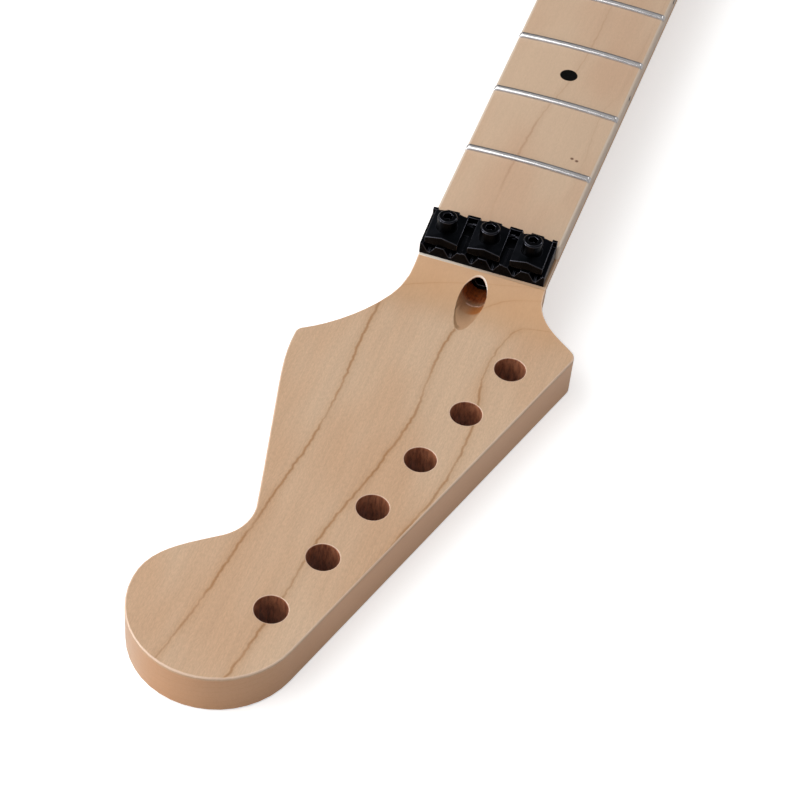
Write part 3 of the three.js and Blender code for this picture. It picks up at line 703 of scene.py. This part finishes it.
shape = cad_copy("neck_blank")
ease(shape, sharp_edges(shape, by_hole), width=hole_ease, segments=2)
ease(shape, sharp_edges(shape, on_outline), width=outline_ease, segments=4)
carved = place_piece(shape, "carved_neck", "neck", neck_maple, ["neck_blank"])

# The hollow curve up to the nut is a true cylinder, so its normals point at the cylinder's axis.
curve_slack = 0.2 * mm
facing_share = 0.98
evened = carved.evaluated_get(bpy.context.evaluated_depsgraph_get()).data
normals = [corner.vector.copy() for corner in evened.corner_normals]


def to_curve_axis(point):
    return Vector((curve_foot_x - point.x, 0, curve_axis_z - point.z))


for face in carved.data.polygons:
    to_axis = to_curve_axis(face.center)
    on_radius = abs(to_axis.length - curve_radius) < curve_slack
    in_curve = on_radius and shelf_end_x < face.center.x < curve_foot_x
    if in_curve and face.normal.dot(to_axis.normalized()) > facing_share:
        for corner in face.loop_indices:
            at = carved.data.vertices[carved.data.loops[corner].vertex_index].co
            normals[corner] = to_curve_axis(at).normalized()
carved.modifiers.clear()
carved.data.normals_split_custom_set(normals)


# The fretboard: a second piece of maple, glued on, planed to a 305 mm radius and rolled over at its long
# edges. It has a glossier finish than the neck, a long fine ring line, a fainter one and two bark flecks.
board_radius = 305 * mm
board_end_x = board_low.x
nut_half = 21.6 * mm
board_half = board_high.y
main_line = [
    (-424, 5),
    (-131, 3.8),
    (-101, 3.2),
    (-84, 1.2),
    (-62, -3.0),
    (-47, -4.0),
    (-18, -4.5),
    (0, -3.0),
]
faint_line = [(-424, 26), (-110, 23), (-86, 21.8), (-73, 18.4), (-31, 19.2), (-20, 17.5), (0, 17)]
faint_line_gap = 0.35
board_wave = 1.5
board_jitter = 1.2
board_ring_rise = 3.5
main_line_start = -10
main_line_full = -45
bark_flecks = [(-44.3, 13.2), (-43.8, 15.0)]
bark_fleck_radius = 0.8 * mm
bark_core_share = 0.4
bark_share = 0.9
bark_tone = srgb(96, 54, 34)
side_start = 1.3 * mm
side_full = 2.2 * mm
side_sheen_share = 0.55
side_sheen_tone = srgb(228, 208, 192)
rolled_highlight_share = 0.6
rolled_highlight_tone = srgb(214, 200, 184)

gloss, gloss_shader, board_maple = new_material("gloss_maple")
place = gloss.node("ShaderNodeTexCoord").outputs["Object"]
x, y, z = gloss.parts(place)
past_nut = gloss.times(gloss.less(x, nut_x), in_mm)
wave, jitter = wander(gloss, place, stretch=0.3, scale=50, wave=board_wave, jitter=board_jitter)
slant = gloss.times(gloss.less(z, board_top_z), -board_ring_rise * in_mm)
across = gloss.add(gloss.times(y, in_mm), wave, jitter, slant)
from_main = gloss.math("ABSOLUTE", gloss.less(across, gloss.curve(past_nut, main_line, ring_reach)))
from_faint = gloss.math("ABSOLUTE", gloss.less(across, gloss.curve(past_nut, faint_line, ring_reach)))
figure = gloss.group(
    "maple_figure",
    {
        "Place": place,
        "Ring Distance": gloss.nearest_of(from_main, gloss.add(from_faint, faint_line_gap)),
        "Line Width": 0.55,
        "Line Strength": gloss.fade(past_nut, main_line_full, main_line_start, 0.36, 0.1),
        "Fleck Strength": 0.5,
        "Light Tone": srgb(207, 178, 150),
        "Warm Tone": srgb(203, 169, 140),
        "Line Tone": srgb(164, 116, 82),
    },
)
colour = figure.outputs["Color"]
for along, aside in bark_flecks:
    off_centre = gloss.length(gloss.less(x, nut_x + along * mm), gloss.less(y, aside * mm))
    mark = gloss.fade(off_centre, bark_fleck_radius * bark_core_share, bark_fleck_radius, bark_share, 0)
    colour = gloss.mix(mark, colour, bark_tone)
# The board's sides are painted paler: a painted reflection of the pale floor.
side_sheen = gloss.fade(z, board_top_z - side_start, board_top_z - side_full)
colour = gloss.mix(gloss.times(side_sheen, side_sheen_share), colour, side_sheen_tone)
# The rolled edges are painted paler as a painted highlight.
rolled_edge_highlight = gloss.node("ShaderNodeAttribute", attribute_name="eased").outputs["Fac"]
colour = gloss.mix(gloss.times(rolled_edge_highlight, rolled_highlight_share), colour, rolled_highlight_tone)
gloss.fill(gloss_shader.inputs["Base Color"], colour)
gloss_shader.inputs["Roughness"].default_value = 0.4
gloss_shader.inputs["Coat Weight"].default_value = 0.5
gloss_shader.inputs["Coat Roughness"].default_value = 0.2
bump_height = figure.outputs["Height"]
bump = gloss.node("ShaderNodeBump", {"Strength": 0.05, "Distance": grain_relief, "Height": bump_height})
gloss.fill(gloss_shader.inputs["Normal"], bump.outputs[0])


def crowned_strip(shape, low_x, high_x, half_angle, steps):
    """A strip of the board's crowned surface, spun about the axis of its radius."""
    centre = Vector((0, 0, board_top_z - board_radius))
    start = centre + Vector((0, -board_radius * math.sin(half_angle), board_radius * math.cos(half_angle)))
    ends = [shape.verts.new(start + Vector((x, 0, 0))) for x in (low_x, high_x)]
    line = shape.edges.new(ends)
    spin = {"cent": centre, "axis": (-1, 0, 0), "angle": 2 * half_angle, "steps": steps}
    bmesh.ops.spin(shape, geom=ends + [line], **spin)


def board_half_at(x):
    share = (nut_x - x) / (nut_x - board_end_x)
    return nut_half + (board_half - nut_half) * share


def cut_away(shape, point, outward):
    """Cuts off what lies beyond a plane and gives the edges of the cut."""
    everything = shape.verts[:] + shape.edges[:] + shape.faces[:]
    cut = bmesh.ops.bisect_plane(shape, geom=everything, plane_co=point, plane_no=outward, clear_outer=True)
    return [item for item in cut["geom_cut"] if isinstance(item, bmesh.types.BMEdge)]


def extruded_points(shape):
    """Extrudes all faces and gives the new points."""
    made = bmesh.ops.extrude_face_region(shape, geom=shape.faces[:])
    return [item for item in made["geom"] if isinstance(item, bmesh.types.BMVert)]


board_half_angle = 0.101
glue_line_margin = 2 * mm
board_ease = 0.9 * mm
shape = bmesh.new()
crowned_strip(shape, board_end_x, nut_x, board_half_angle, steps=24)
for side in (-1, 1):
    corner = Vector((nut_x, side * nut_half, 0))
    taper = Vector((board_end_x - nut_x, side * (board_half - nut_half), 0)).normalized()
    cut_away(shape, corner, Vector((-taper.y, taper.x, 0)) * (-side))
for vert in extruded_points(shape):
    vert.co.z = glue_z
bmesh.ops.recalc_face_normals(shape, faces=shape.faces)
above_glue = glue_z + glue_line_margin
ease(shape, sharp_edges(shape, lambda point: point.z > above_glue), width=board_ease, segments=4)
place_piece(shape, "crowned_fretboard", "neck", board_maple, ["fretboard"])


# The frets: nickel silver wire with a tall domed crown, bent to the board's radius, pressed in by its tang,
# then levelled and bevelled at both ends.
scale_length = 648 * mm
fret_count = 22
crown_width = 2.8 * mm
crown_height = 1.3 * mm
dome_steps = 12
tang_width = 0.55 * mm
tang_depth = 1.8 * mm
tang_short = 0.6 * mm
tang_drop = 0.6 * mm
fret_bevel = math.radians(35)
bevel_inset = 0.05 * mm
bevel_drop = 0.8 * mm
fret_end_reach = 3 * mm
fret_end_drop = 0.7 * mm
fret_ease = 0.3 * mm
polish_relief = 0.05 * mm


def brushed(name, colour, dark, roughness, grit):
    """A metal with fine polishing marks that vary its shade and its gloss."""
    metal, shader, material = new_material(name)
    place = metal.node("ShaderNodeTexCoord").outputs["Object"]
    marks = metal.noise(metal.stretched(place, (1, 0.12, 1)), scale=grit, detail=3, roughness=0.65)
    metal.fill(shader.inputs["Base Color"], metal.mix(metal.fade(marks, 0.3, 0.7), dark, colour))
    metal.fill(shader.inputs["Roughness"], metal.fade(marks, 0.25, 0.75, roughness * 0.8, roughness * 1.3))
    shader.inputs["Metallic"].default_value = 1
    bump = metal.node("ShaderNodeBump", {"Strength": 0.06, "Distance": polish_relief, "Height": marks})
    metal.fill(shader.inputs["Normal"], bump.outputs[0])
    return material


fret_wire = brushed("polished_nickel_silver", srgb(222, 219, 219), srgb(206, 202, 202), 0.2, 2500)


def fret_at(n):
    return nut_x - scale_length * (1 - 2 ** (-n / 12))


for n in range(1, fret_count + 1):
    fret_x = fret_at(n)
    half = board_half_at(fret_x)
    centre = Vector((fret_x, 0, board_top_z - board_radius))
    reach = (half + crown_height) / board_radius
    shape = bmesh.new()
    dome = []
    for i in range(dome_steps + 1):
        angle = math.pi * i / dome_steps
        out = board_radius + crown_height * math.sin(angle)
        spot = Vector((crown_width / 2 * math.cos(angle), -out * math.sin(reach), out * math.cos(reach)))
        dome.append(shape.verts.new(centre + spot))
    profile = shape.faces.new(dome)
    spin = {"cent": centre, "axis": (-1, 0, 0), "angle": 2 * reach, "steps": 16}
    bmesh.ops.spin(shape, geom=[profile] + profile.edges[:] + dome, **spin)
    bmesh.ops.remove_doubles(shape, verts=shape.verts, dist=weld)
    for side in (-1, 1):
        foot = Vector((fret_x, side * (half - bevel_inset), board_top_z - bevel_drop))
        rim = cut_away(shape, foot, Vector((0, side * math.cos(fret_bevel), math.sin(fret_bevel))))
        bmesh.ops.contextual_create(shape, geom=rim)
    bmesh.ops.recalc_face_normals(shape, faces=shape.faces)
    end_y = half - fret_end_reach
    end_z = board_top_z - fret_end_drop
    ends = sharp_edges(shape, lambda point: abs(point.y) > end_y and point.z > end_z)
    ease(shape, ends, width=fret_ease, segments=3)
    tang = bmesh.ops.create_cube(shape, size=1)["verts"]
    tang_size = Vector((tang_width, 2 * half - tang_short, tang_depth))
    tang_centre = Vector((fret_x, 0, board_top_z - tang_drop - tang_depth / 2))
    bmesh.ops.scale(shape, vec=tang_size, verts=tang)
    bmesh.ops.translate(shape, vec=tang_centre, verts=tang)
    place_piece(shape, f"fret_wire_{n:02d}", "neck", fret_wire, [f"fret_{n:02d}"])


# The dots: black plastic rod, glued into drilled holes and levelled with the wood, on the face between the
# frets and on the bass edge where the player looks.
dot_radius = 3.1 * mm
dot_depth = 1.5 * mm
dot_proud = 0.03 * mm
side_dot_radius = 1 * mm
side_dot_depth = 2.5 * mm
side_dot_ease = 0.08 * mm
inlay, inlay_shader, black_inlay = new_material("black_inlay")
place = inlay.node("ShaderNodeTexCoord").outputs["Object"]
scuffs = inlay.noise(place, scale=1600, detail=3)
scuffed = inlay.mix(inlay.fade(scuffs, 0.4, 0.7), srgb(6, 6, 5), srgb(13, 12, 10))
inlay.fill(inlay_shader.inputs["Base Color"], scuffed)
inlay.fill(inlay_shader.inputs["Roughness"], inlay.fade(scuffs, 0.3, 0.7, 0.4, 0.55))
inlay_shader.inputs["Specular IOR Level"].default_value = 0.07

for name in sorted(cad):
    if not name.startswith(("marker_", "side_marker_")):
        continue
    low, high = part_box(name)
    middle = (low + high) / 2
    shape = bmesh.new()
    if name.startswith("marker_"):
        disc = {"cap_ends": True, "cap_tris": False, "segments": 40, "radius": dot_radius}
        dot = bmesh.ops.create_circle(shape, **disc)["verts"]
        bmesh.ops.translate(shape, vec=Vector((middle.x, middle.y, 0)), verts=dot)
        for vert in shape.verts:
            vert.co.z = board_top_z - vert.co.y**2 / (2 * board_radius) + dot_proud
        for vert in extruded_points(shape):
            vert.co.z -= dot_depth
        bmesh.ops.recalc_face_normals(shape, faces=shape.faces)
        place_piece(shape, name.replace("marker", "face_dot"), "neck", black_inlay, [name])
    else:
        pin = {"cap_ends": True, "cap_tris": False, "segments": 24, "depth": side_dot_depth}
        dot = bmesh.ops.create_cone(shape, radius1=side_dot_radius, radius2=side_dot_radius, **pin)["verts"]
        sideways = Quaternion((1, 0, 0), math.pi / 2).to_matrix()
        dot_y = board_half_at(middle.x) + dot_proud - side_dot_depth / 2
        bmesh.ops.rotate(shape, cent=(0, 0, 0), matrix=sideways, verts=dot)
        bmesh.ops.translate(shape, vec=Vector((middle.x, dot_y, middle.z)), verts=dot)
        ease(shape, sharp_edges(shape), width=side_dot_ease, segments=2)
        place_piece(shape, name.replace("side_marker", "side_dot"), "neck", black_inlay, [name])


# The truss rod: a flat steel bar over a turning rod, joined by a brass block at each end, all under the
# fretboard. Only the socket of its black adjuster shows, down in the bore.
rod_steel = brushed("drawn_rod_steel", srgb(150, 150, 152), srgb(120, 120, 122), 0.38, 1400)
rod_brass = brushed("machined_brass", srgb(196, 160, 92), srgb(170, 134, 70), 0.34, 1400)
for name in ("truss_rod_bar", "truss_rod_shaft"):
    paint(cad[name], rod_steel)
for name in ("truss_rod_block_nut", "truss_rod_block_heel"):
    paint(cad[name], rod_brass)


# The black hardware, which is the adjuster, the nut and their screws: steel plated satin black. Tumbling has
# rounded its edges, and these carry painted glints: brighter and glossier plating.
glint_share = 0.6
glint_tone = srgb(84, 84, 92)
glint_gloss = -0.12
plating_relief = 0.04 * mm
black, black_shader, black_plating = new_material("satin_black_plating")
place = black.node("ShaderNodeTexCoord").outputs["Object"]
cloud = black.noise(place, scale=260, detail=3, roughness=0.6)
grain = black.noise(place, scale=5200, detail=2)
edge_glint = black.node("ShaderNodeAttribute", attribute_name="eased").outputs["Fac"]
plating = black.mix(black.fade(cloud, 0.35, 0.7), srgb(14, 16, 19), srgb(21, 22, 26))
plating_roughness = black.fade(cloud, 0.3, 0.7, 0.26, 0.34)
black.fill(black_shader.inputs["Base Color"], black.mix(black.times(edge_glint, glint_share), plating, glint_tone))
black.fill(black_shader.inputs["Roughness"], black.add(plating_roughness, black.times(edge_glint, glint_gloss)))
black_shader.inputs["Metallic"].default_value = 1
bump = black.node("ShaderNodeBump", {"Strength": 0.08, "Distance": plating_relief, "Height": grain})
black.fill(black_shader.inputs["Normal"], bump.outputs[0])


def plated(node, name, body, width, segments=2):
    """Eases all sharp edges of a solid and plates it."""
    shape = cad_copy(node)
    ease(shape, sharp_edges(shape), width, segments)
    place_piece(shape, name, body, black_plating, [node])


# The truss rod's adjuster: a turned steel barrel with a hex socket, fixed on the turning rod and reached
# from the headstock.
adjuster_ease = 0.25 * mm
plated("truss_rod_adjuster", "adjuster_barrel", "truss_rod_rotor", adjuster_ease)


# The locking nut: a milled steel base with a notched wall for the six strings, screwed to the shelf, and
# three pads that a socket head screw each pulls down on a pair of strings.
base_ease = 0.16 * mm
screw_ease = 0.15 * mm
pad_ease = 0.22 * mm
plated("nut_base", "nut_saddle", "neck", base_ease)
for side in ("treble", "bass"):
    plated("nut_screw_" + side, "countersunk_screw_" + side, "neck", screw_ease)
for strings in ("treble", "middle", "bass"):
    plated("clamp_pad_" + strings, "string_pad_" + strings, f"clamp_{strings}_pad", pad_ease, segments=3)
    plated("clamp_screw_" + strings, "cap_screw_" + strings, f"clamp_{strings}_screw", screw_ease)
